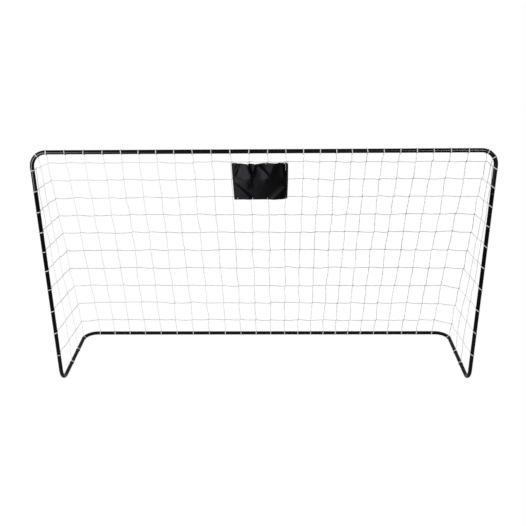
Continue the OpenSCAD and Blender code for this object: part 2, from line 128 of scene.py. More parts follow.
# How far round the tube from the knot the camera sees the loops, in radians
CROSSBAR_FACING = 4.05
REAR_FACING = 0.69
FOLD_PULL = {-1: 35 * MM, 1: 52 * MM}     # how far the lowest fold knots go towards the posts
SIDE_SAG = {-1: 2 * MM, 1: 8 * MM}        # how deep the side nets' lowest cords hang between knots
BACK_SAG = 1 * MM                         # the same for all cross cords of the back net
DROOP = 14 * MM                           # how much lower the net's lower right corner hangs
DROOP_START = 0.55                        # where that starts and is reached, in shares of the rows
DROOP_RUN = 0.25
KNOT_OUT = tube_r + 4.5 * MM              # a loop's knot, from its tube's axis
KNOT_REACH = 3 * MM                       # how far a knot holds its cords straight
STRAND_LAY = 8 * MM                       # length in which a strand goes once round the cord
CROSS_LANE = 2                            # marks the cross cords for the net's finish
FLOOR_GAP = 0.3 * MM                      # no cord goes nearer to the floor
FLOOR_HALF = 30

# The leaf springs, as the part's source has them
LEAF_T = 0.6 * MM
LEAF_TAIL = 5 * MM                        # how far the leaf runs on past the button
LEAF_REACH = 25 * MM                      # from the leaf's tip to its bend

# The cloth panel, as the part's source has it
PANEL_W = 288 * MM
PANEL_H = 252 * MM
PANEL_LEFT = 159 * MM
PANEL_OFF = 1.6 * MM                      # its back, in front of the net's plane
PANEL_LOW = 2.5 * MM                      # its top hem, below the first cross cord
CLOTH_T = 0.35 * MM
WEAVE = 0.9 * MM                          # the weave's repeat
HEM_W = 9 * MM
HEM_T = 0.5 * MM
SEAM_INSET = 8 * MM                       # from the panel's edge to its stitches
STITCH_LEN = 3.2 * MM
# Its folds: start and end in shares of its width and height, then, in millimetres, the height and
# the widths on the left and on the right
FOLDS = (
    ((0.12, 0.02), (0.03, 0.32), 3.0, 8, 9),
    ((0.27, 0.02), (0.33, 0.36), 8.5, 42, 11),
    ((0.14, 0.46), (0.26, 0.60), 2.5, 24, 16),
    ((0.41, 0.02), (0.37, 0.28), 3.5, 10, 9),
    ((0.46, 0.03), (0.62, 0.30), 2.2, 15, 9),
    ((0.78, 0.02), (0.67, 0.38), 7.0, 30, 12),
    ((0.90, 0.03), (0.93, 0.36), 1.5, 14, 10),
    ((0.96, 0.66), (0.76, 0.98), 4.0, 19, 13),
    ((0.05, 0.60), (0.28, 0.94), 2.8, 19, 14),
)
# The part of the back net, in x and down the slope, that is held flat behind the panel
PANEL_MARGIN = 12 * MM
FLAT_START = 60 * MM
FLAT_END = 330 * MM

chance = np.random.default_rng(7)         # every unevenness comes from here, in a fixed order


# ---------------------------------------------------------------- camera, floor and light

CAMERA_PLACE = (0.0617, -3.8532, 2.3367)
CAMERA_TURN = (23.742, 1.045, -0.554)     # pitch, yaw and roll, in degrees
LENS = 49.07                              # focal length in mm, for a sensor that is 36 mm wide


def aim_camera():
    pitch, yaw, roll = (math.radians(a) for a in CAMERA_TURN)
    ahead = Vector((-math.sin(yaw) * math.cos(pitch), math.cos(yaw) * math.cos(pitch),
                    -math.sin(pitch)))
    level = Vector((math.cos(yaw), math.sin(yaw), 0))
    right = math.cos(roll) * level + math.sin(roll) * level.cross(ahead)
    up = right.cross(ahead)
    lens = bpy.data.cameras.new("camera")
    lens.sensor_fit = "HORIZONTAL"
    lens.sensor_width = 36
    lens.lens = LENS
    lens.clip_end = 60
    camera = bpy.data.objects.new("camera", lens)
    turn = Matrix((right, up, -ahead)).transposed().to_4x4()
    camera.matrix_world = Matrix.Translation(CAMERA_PLACE) @ turn
    bpy.context.scene.collection.objects.link(camera)
    bpy.context.scene.camera = camera


def softbox(name, place, target, width, height, power, lit=()):
    """A soft lamp. Where lit holds things, it shows as a gloss on them alone."""
    light = bpy.data.lights.new(name, "AREA")
    light.shape = "RECTANGLE"
    light.size = width
    light.size_y = height
    light.energy = power
    box = bpy.data.objects.new(name, light)
    if lit:
        box.visible_diffuse = False
        box.light_linking.receiver_collection = bpy.data.collections.new(f"{name}_lit")
        for thing in lit:
            box.light_linking.receiver_collection.objects.link(thing)
    box.visible_camera = False
    box.location = place
    box.rotation_euler = (Vector(target) - Vector(place)).to_track_quat("-Z", "Y").to_euler()
    bpy.context.scene.collection.objects.link(box)
    return box


# ---------------------------------------------------------------- shader maths

class Value:
    """A shader node's output. Arithmetic on it adds Math nodes."""

    def __init__(self, shader, socket):
        self.shader = shader
        self.socket = socket

    def math(self, operation, a, b):
        return self.shader.node("ShaderNodeMath", {"operation": operation}, {0: a, 1: b})

    def __add__(self, other):
        return self.math("ADD", self, other)

    def __radd__(self, other):
        return self.math("ADD", other, self)

    def __sub__(self, other):
        return self.math("SUBTRACT", self, other)

    def __rsub__(self, other):
        return self.math("SUBTRACT", other, self)

    def __mul__(self, other):
        return self.math("MULTIPLY", self, other)

    def __rmul__(self, other):
        return self.math("MULTIPLY", other, self)

    def __truediv__(self, other):
        return self.math("DIVIDE", self, other)


class Shader:
    """The node tree of a material or of the world."""

    def __init__(self, owner):
        owner.use_nodes = True
        self.tree = owner.node_tree
        self.tree.nodes.clear()

    def node(self, kind, settings=None, inputs=None, out=0):
        """Adds a node: its settings first, then its sockets' values or links."""
        made = self.tree.nodes.new(kind)
        for name, value in (settings or {}).items():
            if name == "stops":
                set_stops(made.color_ramp, value)
            else:
                setattr(made, name, value)
        for key, value in (inputs or {}).items():
            if isinstance(value, Value):
                self.tree.links.new(value.socket, made.inputs[key])
            else:
                made.inputs[key].default_value = value
        return Value(self, made.outputs[out]) if len(made.outputs) else None

    def place(self):
        """A point's place on the part, in metres."""
        return self.node("ShaderNodeTexCoord", out=3)

    def noise(self, place, scale, detail=2, roughness=0.5):
        return self.node("ShaderNodeTexNoise", None, {
            "Vector": place, "Scale": scale, "Detail": detail, "Roughness": roughness})

    def ramp(self, value, *stops):
        """A number that follows value through the stops, each a place and a number."""
        greys = [(place, (number, number, number, 1)) for place, number in stops]
        return self.node("ShaderNodeValToRGB", {"stops": greys}, {"Fac": value})

    def mix(self, share, a, b):
        """From colour a to colour b."""
        return self.node("ShaderNodeMix", {"data_type": "RGBA"}, {0: share, 6: a, 7: b}, out=2)

    def bump(self, height, strength, distance):
        return self.node("ShaderNodeBump", None, {
            "Height": height, "Strength": strength, "Distance": distance})

    def wave(self, turns):
        """From 0 to 1 and back once in each turn."""
        return 0.5 + 0.5 * self.node("ShaderNodeMath", {"operation": "SINE"}, {0: turns * math.tau})

    def surface(self, **inputs):
        """The material's surface; _ in a socket's name is a space."""
        named = {key.replace("_", " "): value for key, value in inputs.items()}
        self.node("ShaderNodeOutputMaterial", None, {
            "Surface": self.node("ShaderNodeBsdfPrincipled", None, named)})


def set_stops(ramp, stops):
    while len(ramp.elements) < len(stops):
        ramp.elements.new(0.5)
    for element, (place, colour) in zip(ramp.elements, stops):
        element.position = place
        element.color = colour


def material(name):
    made = bpy.data.materials.new(name)
    return made, Shader(made)


def grey(level):
    return (level, level, level, 1)


# ---------------------------------------------------------------- finishes

def black_paint():
    """Black powder coat: faint orange peel, few scuffs, and dust, thicker near the ground."""
    made, s = material("black_paint")
    place = s.place()
    dust = s.noise(place, 14, 5, 0.65)
    scuffs = s.noise(place, 130, 4, 0.7)
    wear_and_shade = s.ramp(scuffs, (0.60, 0.0), (0.72, 1.0)) * s.ramp(dust, (0.45, 0.0), (0.75, 1.0))
    height = s.node("ShaderNodeSeparateXYZ", None, {0: place}, out=2)
    grounded = s.ramp(height, (0.0, 1.0), (0.5, 0.0)) * (0.6 + 0.8 * dust)
    s.surface(
        Base_Color=s.mix(0.1 * wear_and_shade + 0.35 * grounded, (0.001, 0.001, 0.0012, 1),
                         (0.02, 0.02, 0.021, 1)),
        Roughness=0.3 + 0.05 * dust + 0.02 * wear_and_shade,
        Specular_IOR_Level=0.04,
        Normal=s.bump(s.noise(place, 300), 0.007, 0.2 * MM),
    )
    return made


def plated_steel(name, colour, roughness):
    """Zinc plating or bare spring steel, in fine cloudy patches."""
    made, s = material(name)
    place = s.place()
    cloud = s.noise(place, 450, 4, 0.6)
    dark = tuple(0.7 * c for c in colour[:3]) + (1,)
    s.surface(
        Base_Color=s.mix(s.ramp(cloud, (0.35, 0.0), (0.7, 1.0)), colour, dark),
        Metallic=1.0,
        Roughness=roughness + 0.2 * (cloud - 0.5),
        Normal=s.bump(s.noise(place, 2500), 0.1, 0.1 * MM),
    )
    return made


def net_yarn(name, dulled, wear_and_shade, heights=()):
    """White cord laid from three strands, uneven in tone, with fuzz and painted shade.

    dulled is how dark it gets in spots, partly uneven tone and partly painted shade, and worn how
    much more so for each metre to the right, a painted shade across the goal. heights, for the
    net alone, are stops of half a height and of a factor on dulled, painted light that makes the
    net lighter higher up. The net's cross cords are dull in between the spots too, a painted shade,
    and its sides are lighter, the cross cords most of all on the right.
    """
    made, s = material(name)
    lay = s.node("ShaderNodeUVMap", {"uv_map": "lay"})
    around, along = (s.node("ShaderNodeSeparateXYZ", None, {0: lay}, out=n) for n in (0, 1))
    strand = s.wave(3 * around + along)
    place = s.place()
    across, deep, high = (
        s.node("ShaderNodeSeparateXYZ", None, {0: place}, out=n) for n in range(3))
    tone = s.noise(place, 7)
    spot_noise = s.noise(place, 85, 1)
    fuzz = s.noise(place, 3500)
    # Painted shade in the grooves between the strands
    groove = s.ramp(strand, (0.0, 1.0), (0.45, 0.0))
    # Dark spots: partly uneven tone, partly painted shade that greys the white cord
    spots = s.ramp(0.75 * spot_noise + 0.25 * tone, (0.43, 0.0), (0.54, 1.0))
    # Painted shade that changes by the metre from left to right across the goal
    spots_and_shade = (dulled + wear_and_shade * across) * spots
    if heights:
        # Painted light: a factor by height that weakens the net's darkness most high up, where the
        # light falls
        painted_paleness = s.ramp(0.5 * high, *heights)
        behind = BACK[1] * (deep - axis_front) + BACK[2] * (high - axis_top)
        # From 20 to 70 mm in front of the back net, the side nets' looks take over
        at_side = s.ramp(behind + 0.1, (0.03, 1.0), (0.08, 0.0))
        down = (dulled * painted_paleness + wear_and_shade * across) * (1 - 0.6 * at_side) * spots
        # Painted shade: the cross cords are darker all along, a little more so to the right
        level = (1.08 * painted_paleness + 0.06 * across) * (0.6 + 0.4 * spots)
        level = level * (1 - at_side * (0.35 + 0.35 * across))
        is_level = s.ramp(around / (CROSS_LANE + 1), (0.45, 0.0), (0.55, 1.0))
        spots_and_shade = down + is_level * (level - down)
    s.surface(
        Base_Color=s.mix(0.2 * groove + spots_and_shade, (0.85, 0.85, 0.845, 1), (0.11, 0.11, 0.114, 1)),
        Roughness=0.72 + 0.2 * fuzz,
        Specular_IOR_Level=0.1,
        Normal=s.bump(strand + 0.4 * fuzz, 0.6, 0.3 * MM),
    )
    return made


def black_nylon():
    """Shiny black woven nylon: plain weave, calendered, its roughness varying in soft patches that
    also lighten its colour a little, a painted sheen.
    """
    made, s = material("black_nylon")
    lay = s.node("ShaderNodeUVMap", {"uv_map": "lay"})
    warp, weft = (s.wave(s.node("ShaderNodeSeparateXYZ", None, {0: lay}, out=n)) for n in (0, 1))
    patch = s.noise(s.place(), 18, 3, 0.6)
    s.surface(
        # Painted sheen: the soft patches lighten the colour towards a bluish grey
        Base_Color=s.mix(s.ramp(patch, (0.3, 0.0), (0.75, 1.0)),
                         (0.0004, 0.0004, 0.0006, 1), (0.0014, 0.0012, 0.0021, 1)),
        Roughness=0.25 + 0.07 * patch,
        Specular_IOR_Level=0.018,
        Normal=s.bump(warp * weft, 0.15, 0.12 * MM),
    )
    return made


def black_thread():
    """Polyester sewing thread, a shade lighter than the cloth."""
    made, s = material("black_thread")
    twist = s.noise(s.place(), 2500)
    s.surface(
        Base_Color=s.mix(twist, (0.012, 0.012, 0.013, 1), (0.035, 0.035, 0.038, 1)),
        Roughness=0.5 + 0.2 * twist,
        Normal=s.bump(twist, 0.4, 0.1 * MM),
    )
    return made


def seen_directly(s):
    """1 for what the camera, a gloss or a clear surface shows, and 0 for light that bounces on."""
    camera, glossy, clear = (s.node("ShaderNodeLightPath", out=n) for n in (0, 3, 6))
    return s.node("ShaderNodeMath", {"operation": "MINIMUM"}, {0: camera + glossy + clear, 1: 1.0})


def pale_floor():
    """A floor that shows nearly white and still takes a faint shadow."""
    made, s = material("pale_floor")
    grain = s.noise(s.place(), 60, 3)
    shade = s.node("ShaderNodeBsdfDiffuse", None, {"Color": s.mix(grain, grey(0.93), grey(0.95))})
    glow = s.node("ShaderNodeEmission", None, {"Color": grey(1), "Strength": 1.02})
    mixed = s.node("ShaderNodeMixShader", None, {0: 0.94 * seen_directly(s), 1: shade, 2: glow})
    s.node("ShaderNodeOutputMaterial", None, {"Surface": mixed})
    return made


def white_studio():
    """White all round, that lights things less than it shows."""
    world = bpy.data.worlds.new("studio")
    bpy.context.scene.world = world
    s = Shader(world)
    strength = 0.68 + 0.32 * seen_directly(s)
    sky = s.node("ShaderNodeBackground", None, {"Color": grey(1), "Strength": strength})
    s.node("ShaderNodeOutputWorld", None, {"Surface": sky})


# ---------------------------------------------------------------- meshes

def smooth(points, steps):
    """The points, with steps - 1 more between each two, on a curve through them all."""
    p = np.asarray(points, float)
    before = np.vstack([2 * p[0] - p[1], p[:-2]])
    after = np.vstack([p[2:], 2 * p[-1] - p[-2]])
    a, b = p[:-1], p[1:]
    slope_a, slope_b = (b - before) / 2, (after - a) / 2
    curve = []
    for t in np.arange(steps) / steps:
        curve.append((2 * t**3 - 3 * t**2 + 1) * a + (t**3 - 2 * t**2 + t) * slope_a
                     + (3 * t**2 - 2 * t**3) * b + (t**3 - t**2) * slope_b)
    return np.vstack([np.stack(curve, 1).reshape(-1, 3), p[-1:]])


class Cords:
    """Gathers swept cords into one mesh. Its UVs run round the cord and along it."""

    def __init__(self):
        self.points, self.quads, self.lay, self.ends = [], [], [], []
        self.count = 0

    def sweep(self, path, radius=CORD_R, sides=8, lane=0):
        """A round cord along the path, open or, where its ends meet, closed.

        lane is a whole number that its finish can tell it by.
        """
        path = np.asarray(path, float)
        closed = np.allclose(path[0], path[-1])
        ahead = np.gradient(path, axis=0)
        if closed:
            ahead[0] = ahead[-1] = path[1] - path[-2]
        ahead /= np.linalg.norm(ahead, axis=1)[:, None]
        up = unit(np.cross(ahead[0], Z if abs(ahead[0][2]) < 0.9 else X))
        ups = []
        for way in ahead:
            up = unit(up - way * (up @ way))
            ups.append(up)
        ups = np.array(ups)
        across = np.cross(ahead, ups)
        angle = math.tau * np.arange(sides) / sides
        rings = (path[:, None, :] + radius * (np.cos(angle)[None, :, None] * ups[:, None, :]
                 + np.sin(angle)[None, :, None] * across[:, None, :]))
        steps = np.linalg.norm(np.diff(path, axis=0), axis=1)
        run = np.concatenate([[0], np.cumsum(steps)]) / STRAND_LAY
        n = len(path)
        i, k = (g.ravel() for g in np.meshgrid(np.arange(n - 1), np.arange(sides), indexing="ij"))
        near, far = self.count + i * sides, self.count + (i + 1) * sides
        nxt = (k + 1) % sides
        self.quads.append(np.stack([near + k, near + nxt, far + nxt, far + k], 1))
        u, v = k / sides + lane, (k + 1) / sides + lane
        self.lay.append(np.stack([np.stack([u, run[i]], 1), np.stack([v, run[i]], 1),
                                  np.stack([v, run[i + 1]], 1), np.stack([u, run[i + 1]], 1)], 1))
        self.points.append(rings.reshape(-1, 3))
        if not closed:
            first = list(range(self.count, self.count + sides))
            last = [v + (n - 1) * sides for v in first]
            self.ends.append((first[::-1], last))
        self.count += n * sides

    def make(self, name, finish, slot, *nodes):
        """The piece, riding on the frame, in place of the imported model's nodes."""
        points = np.vstack(self.points)
        points[:, 2] = np.maximum(points[:, 2], FLOOR_GAP)
        faces = np.vstack(self.quads).tolist() + [end for pair in self.ends for end in pair]
        mesh = bpy.data.meshes.new(name)
        mesh.from_pydata(points.tolist(), [], faces)
        lay = mesh.uv_layers.new(name="lay")
        corners = np.vstack(self.lay).reshape(-1, 2)
        filled = np.zeros((len(mesh.loops), 2))
        filled[:len(corners)] = corners
        lay.data.foreach_set("uv", filled.ravel())
        mesh.shade_smooth()
        return add_piece(name, mesh, finish, slot, *nodes)


def add_piece(name, mesh, finish, slot, *nodes, rides=True):
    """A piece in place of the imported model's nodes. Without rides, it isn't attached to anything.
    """
    mesh.materials.clear()
    mesh.materials.append(finish)
    piece = bpy.data.objects.new(name, mesh)
    bpy.context.scene.collection.objects.link(piece)
    if rides:
        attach(piece, "root")
    if nodes:
        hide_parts(*nodes)
    return piece


def flexing_spring(joint, steel):
    """The leaf spring behind a button, a piece of its own in place of the imported node, its place
    baked into its mesh.
    """
    name = joint["name"].removesuffix("_press")
    node = "spring_" + name
    mesh = frame["nodes"][node].data.copy()
    piece = add_piece("leaf_" + node, mesh, steel, "spring_steel", node, rides=False)
    low, high = (np.array(corner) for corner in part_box(node))
    button = np.array(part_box("button_" + name)).mean(0)
    inward = np.array(joint["axis"], float)
    along = np.eye(3)[np.argmax(high - low)]
    to_tail = along * np.sign((button - (low + high) / 2) @ along)
    deep = abs((high - low) @ inward)
    # foot and rise are where the share of the button's motion that a point would take is 0, and how
    # that share rises outward and toward the tail; nothing uses them, so the leaf stays still
    foot = (low + high) / 2 + (high - low) @ along / 2 * to_tail + (deep / 2 - LEAF_T) * inward
    flat = 2 * LEAF_TAIL / LEAF_REACH
    rise = to_tail / LEAF_REACH - (1 + flat) / (deep - 2 * LEAF_T) * inward
    foot + rise / (rise @ rise)
    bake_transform(piece)


# ---------------------------------------------------------------- where the net's knots are

def row_share(i):
    """Cross cord i's place in shares of the way from the first to the last."""
    t = i / (ROWS - 1)
    return t - ROW_GROWTH * t * (1 - t)


def row_s(i):
    """Distance of cross cord i down the slope."""
    return FIRST_ROW + (slope_len - FIRST_ROW - LAST_ROW) * row_share(i)


def row_z(side, i):
    """Height of cross cord i's loop on a post."""
    t = i / (ROWS - 1)
    slip = LEFT_SLIP * math.sin(1.5 * math.pi * t) if side < 0 and t < 2 / 3 else 0
    return axis_top - HIGHEST_LOOP - (bar_rise - HIGHEST_LOOP - LOWEST_LOOP) * row_share(i) - slip


def parting(t):
    """The wave in the loops' places along the crossbar, at a share t of its length."""
    u = (2 * axis_x * t - PARTING_START) / (PARTING_END - PARTING_START)
    return CROSSBAR_PARTING * math.sin(math.tau * u) if 0 < u < 1 else 0


def column_x(j, s):
    """The cord j down the slope: its x at a distance s down."""
    t = j / COLUMNS
    down = s / slope_len
    ends = {side: math.sin(math.radians(turn)) for side, turn in FOLD_TURN.items()}
    return ((2 * t - 1) * (axis_x - BEND_R * (1 - down))
            + BEND_R * (1 - down) * (ends[1] * t**TURN_FADE - ends[-1] * (1 - t)**TURN_FADE)
            + (1 - down) * (CROSSBAR_DRIFT * math.sin(math.pi * t)
                            + CROSSBAR_CROWD * math.sin(2 * math.pi * t) - parting(t))
            + down * (REAR_DRIFT * math.sin(math.pi * t) + REAR_CROWD * math.sin(2 * math.pi * t)
                      - REAR_SWAY * math.sin(3 * math.pi * t)))


def on_slope(x, s, out=0.0):
    """A point of the back net: across, down the slope, and out of its back."""
    return np.array([x, axis_front, axis_top]) + s * DOWN + out * BACK


def uneven(size):
    """A small shift, of about size each way."""
    return np.clip(chance.normal(0, size, 3), -2 * size, 2 * size)


def by_panel(x, s):
    """Whether a point of the back net is behind the panel or close beside it."""
    beside = -PANEL_LEFT - PANEL_MARGIN < x < PANEL_W - PANEL_LEFT + PANEL_MARGIN
    return beside and FLAT_START < s < FLAT_END


def droop(x, i):
    """How much lower the slack net hangs towards its lower right corner."""
    low = min(max((row_share(i) - DROOP_START) / DROOP_RUN, 0), 1)
    return DROOP * (0.5 + 0.5 * x / axis_x) * low


def back_knot(j, i):
    """The knot where the cord j down the slope meets the cross cord i."""
    s = row_s(i)
    x = column_x(j, s)
    s += droop(x, i)
    dx, ds, out = uneven(2.6 * MM)
    out = 0.5 * out
    if by_panel(x, s):
        dx, ds, out = 0.3 * dx, 0.3 * ds, 2.5 * MM
    return on_slope(x + dx, s + ds, out)


class Tie:
    """Where the net is tied round a tube: the loop's middle, the tube's direction, the way from
    there to the net, and the knot's place."""

    def __init__(self, middle, along, toward):
        self.middle = middle
        self.along = along
        self.way = unit(toward - (toward @ along) * along)
        self.knot = middle + KNOT_OUT * self.way


def bend_tie(corner, a, b, turn, toward):
    """A tie on the bend at a corner, turned from the leg along a towards the leg along b."""
    turn = math.radians(turn)
    middle = corner + BEND_R * ((1 - math.sin(turn)) * a + (1 - math.cos(turn)) * b)
    return Tie(middle, b * math.sin(turn) - a * math.cos(turn), toward)


def top_bend_tie(side, turn, toward):
    corner = np.array([side * axis_x, axis_front, axis_top])
    return bend_tie(corner, -side * X, -Z, turn, toward)


def crossbar_tie(j):
    if j in (0, COLUMNS):
        side = -1 if j == 0 else 1
        return top_bend_tie(side, FOLD_TURN[side], DOWN)
    return Tie(on_slope(column_x(j, 0), 0), X, DOWN)


def rear_corner_tie(side):
    corner = np.array([side * axis_x, axis_rear, axis_low])
    return bend_tie(corner, -side * X, -Y, REAR_CORNER_TURN, Z)


knots = {(j, i): back_knot(j, i) for j in range(COLUMNS + 1) for i in range(ROWS)}
crossbar_ties = [crossbar_tie(j) for j in range(COLUMNS + 1)]
rear_ties = {j: Tie(on_slope(column_x(j, slope_len), slope_len), X, -DOWN)
             for j in range(1, COLUMNS)}
corner_ties = {side: top_bend_tie(side, CORNER_TURN[side], Y) for side in SIDES}
rear_corner_ties = {side: rear_corner_tie(side) for side in SIDES}
post_ties = {(side, i): Tie(np.array([side * axis_x, axis_front, row_z(side, i)]), Z, Y)
             for side in SIDES for i in range(ROWS)}
side_knots, side_ties = {}, {}
for side in SIDES:
    edge = 0 if side < 0 else COLUMNS
    for i in range(ROWS):
        post, fold = post_ties[side, i].knot, knots[edge, i]
        fold += FOLD_PULL[side] * row_share(i)**1.5 * unit(post - fold)
        for f in SIDE_CORDS[side]:
            g = f - SIDE_GROWTH * (1 - i / (ROWS - 1))
            side_knots[side, f, i] = (1 - g) * post + g * fold + uneven(1.6 * MM)
    for f in SIDE_CORDS[side]:
        foot = np.array([side * axis_x, side_knots[side, f, ROWS - 1][1], axis_low])
        side_ties[side, f] = Tie(foot, Y, Z)


# ---------------------------------------------------------------- cords, knots and loops

def slack(a, b, sag, flat):
    """A slack cord's points between two knots, with the last knot. A flat one is kept in plane."""
    bow, twist = uneven(1.3 * MM), uneven(0.8 * MM)
    points = []
    for t in (0.25, 0.5, 0.75, 1.0):
        shift = bow * math.sin(math.pi * t) + twist * math.sin(2 * math.pi * t)
        if flat:
            shift = shift - BACK * (shift @ BACK)
        points.append(a + t * (b - a) + shift - sag * Z * math.sin(math.pi * t) ** 2)
    points[-1] = b
    return points


def cord_through(cords, stops, sags, step, lane=0):
    """A slack cord through its knots, which shift it by about step to each side of its run."""
    shifts = [np.clip(chance.normal(1, 0.5), -0.5, 2) * step for stop in stops]
    shifts[0] = shifts[-1] = 0 * step
    points = [stops[0]]
    for n, (a, b) in enumerate(zip(stops, stops[1:])):
        flat = by_panel((a[0] + b[0]) / 2, ((a + b) / 2 - on_slope(0, 0)) @ DOWN)
        past = KNOT_REACH * unit(b - a)
        start, end = a + past + shifts[n], b - past - shifts[n + 1]
        points += [start] + slack(start, end, sags[n], flat)
    cords.sweep(smooth(points + [stops[-1]], 2), sides=6, lane=lane)


def knot(cords, place, along, out, size=1.0):
    """A tight overhand knot of the cord itself, its hollow lying along a way."""
    along = unit(along)
    out = unit(out - along * (out @ along))
    across = np.cross(along, out)
    turn = chance.uniform(0, math.tau)
    t = np.linspace(0, math.tau, 19)      # a, b and c are the coordinates of a trefoil
    a = np.sin(t) + 2 * np.sin(2 * t)
    b = np.cos(t) - 2 * np.cos(2 * t)
    c = -np.sin(3 * t)
    grow = 0.8 * size * MM
    spun_a = a * math.cos(turn) - b * math.sin(turn)
    spun_b = a * math.sin(turn) + b * math.cos(turn)
    path = place + grow * (spun_a[:, None] * out + spun_b[:, None] * across
                           + 1.2 * c[:, None] * along)
    path[-1] = path[0]
    cords.sweep(path, radius=0.85 * CORD_R, sides=6)


def loop(cords, tie, tilt=0.0, facing=math.pi, thick=1.0):
    """Two turns of cord round a tube, tied on the side toward the net with a knot and a tail.

    tilt leans the loop: it is the shift along the tube a quarter turn past the angle facing.
    """
    radius = thick * LOOP_CORD_R
    side = np.cross(tie.along, tie.way)
    turns, off_knot = 2, 0.16 * math.pi
    angle = np.linspace(off_knot, turns * math.tau - off_knot, 16 * turns + 1)
    radial = np.cos(angle)[:, None] * tie.way + np.sin(angle)[:, None] * side
    shift = LOOP_W * (np.linspace(0, 1, len(angle)) - 0.5) + tilt * np.sin(angle - facing)
    path = tie.middle + (tube_r + 1.02 * radius) * radial + shift[:, None] * tie.along
    path = np.vstack([tie.knot, path, tie.knot])
    cords.sweep(smooth(path, 2), radius=radius)
    knot(cords, tie.knot, tie.way, tie.along, 1.15)
    tail = unit(0.4 * tie.way + chance.choice((-1, 1)) * tie.along + 0.5 * uneven(1.0))
    length = chance.uniform(5, 9) * MM
    ends = [tie.knot, tie.knot + 0.4 * length * tail, tie.knot + length * tail - 1.2 * MM * Z]
    cords.sweep(smooth(ends, 3), radius=0.8 * CORD_R, sides=6)


def build_net(yarn):
    """The knotted net: the cross cords with their ends on the posts, then the cords down it."""
    net = Cords()
    for i in range(ROWS):
        row = [post_ties[-1, i].knot] + [side_knots[-1, f, i] for f in SIDE_CORDS[-1]]
        row += [knots[j, i] for j in range(COLUMNS + 1)]
        row += [side_knots[1, f, i] for f in reversed(SIDE_CORDS[1])] + [post_ties[1, i].knot]
        side_sags = {side: [SIDE_SAG[side] * row_share(i) ** 2] * (len(SIDE_CORDS[side]) + 1)
                     for side in SIDES}
        sags = side_sags[-1] + [BACK_SAG] * COLUMNS + side_sags[1]
        cord_through(net, row, sags, -1.6 * MM * DOWN, CROSS_LANE)
    for j in range(COLUMNS + 1):
        foot = rear_ties[j] if j in rear_ties else rear_corner_ties[-1 if j == 0 else 1]
        column = [crossbar_ties[j].knot] + [knots[j, i] for i in range(ROWS)] + [foot.knot]
        cord_through(net, column, [0.0] * len(column), -1.4 * MM * X)
    for side in SIDES:
        for f in SIDE_CORDS[side]:
            column = [side_knots[side, f, i] for i in range(ROWS)] + [side_ties[side, f].knot]
            if f == SIDE_CORDS[side][1]:      # the rear one, which reaches the top bend
                column.insert(0, corner_ties[side].knot)
            cord_through(net, column, [0.0] * len(column), 1.0 * MM * Y)
    for place in knots.values():
        knot(net, place, BACK, DOWN, 1.2)
    for place in side_knots.values():
        knot(net, place, X, Z, 1.2)
    net.make("knotted_net", yarn, "net_cord", "net_back", "net_side_left", "net_side_right")


def build_loops(yarn):
    """The loops round the tubes, one piece for each of the part's loop nodes."""
    loops = Cords()
    for tie in crossbar_ties:
        loop(loops, tie, tilt=chance.normal(0, 0.8) * MM, facing=CROSSBAR_FACING)
    for side in SIDES:
        loop(loops, corner_ties[side], tilt=chance.normal(0, 1.0) * MM)
    loops.make("crossbar_wraps", yarn, "net_cord", "crossbar_loops")

    loops = Cords()
    for tie in rear_ties.values():
        tilt = (REAR_TILT if tie.middle[0] > REAR_TILT_START else 0.0) + chance.normal(0, 0.8) * MM
        loop(loops, tie, tilt=tilt, facing=REAR_FACING, thick=THICK)
    for side in SIDES:
        loop(loops, rear_corner_ties[side], tilt=chance.normal(0, 1.0) * MM)
    loops.make("rear_bar_wraps", yarn, "net_cord", "rear_bar_loops")

    for side, name, thick in ((-1, "left", 1.0), (1, "right", THICK)):
        loops = Cords()
        for i in range(ROWS):
            tilt = POST_TILT[side] + chance.normal(0, 1.0) * MM
            loop(loops, post_ties[side, i], tilt=tilt, facing=0, thick=thick)
        loops.make(f"post_wraps_{name}", yarn, "net_cord", f"post_loops_{name}")

        loops = Cords()
        for f in SIDE_CORDS[side]:
            loop(loops, side_ties[side, f], tilt=3 * side * MM)
        loops.make(f"side_wraps_{name}", yarn, "net_cord", f"side_loops_{name}")


# ---------------------------------------------------------------- the cloth panel

def fold_relief(u, v):
    """Height of the folds at a point of the panel, given in shares of its width and height."""
    p = np.stack([u * PANEL_W, v * PANEL_H], -1)
    height = 0
    for start, end, rise, left, right in FOLDS:
        a = np.array(start) * (PANEL_W, PANEL_H)
        b = np.array(end) * (PANEL_W, PANEL_H)
        run = b - a
        t = np.clip(((p - a) @ run) / (run @ run), 0, 1)
        gap = np.linalg.norm(p - a - t[..., None] * run, axis=-1)
        beside = (run[0] * (p - a)[..., 1] - run[1] * (p - a)[..., 0]) / np.linalg.norm(run)
        width = right + (left - right) / (1 + np.exp(-beside / (2 * MM)))
        height = height + rise * MM * np.exp(-(gap / (width * MM)) ** 2)
    return height


def panel_point(u, v, out):
    """Places of the panel's points: its uneven outline and its folds, out in front of the net."""
    x = -PANEL_LEFT + PANEL_W * u
    s = FIRST_ROW + PANEL_LOW + PANEL_H * v
    # The left and right edges bow, and the top is wider than the bottom
    x = x + 1.5 * MM * v * (1 - u) ** 2 + 1.5 * MM * np.sin(math.pi * v) * u**3
    x = x + (1 - v) * (2 * MM * u**3 - 3.5 * MM * (1 - u) ** 2)
    # The top edge dips at its middle, and the lower right corner is drawn up
    s = s + 7 * MM * np.exp(-((u - 0.42) / 0.14) ** 2) * (1 - v) ** 3
    s = s - 7 * MM * np.exp(-((1 - u) / 0.06) ** 2) * v**6
    front = PANEL_OFF + fold_relief(u, v) + out
    base = np.array([0, axis_front, axis_top])
    return base + x[..., None] * X + s[..., None] * DOWN - front[..., None] * BACK


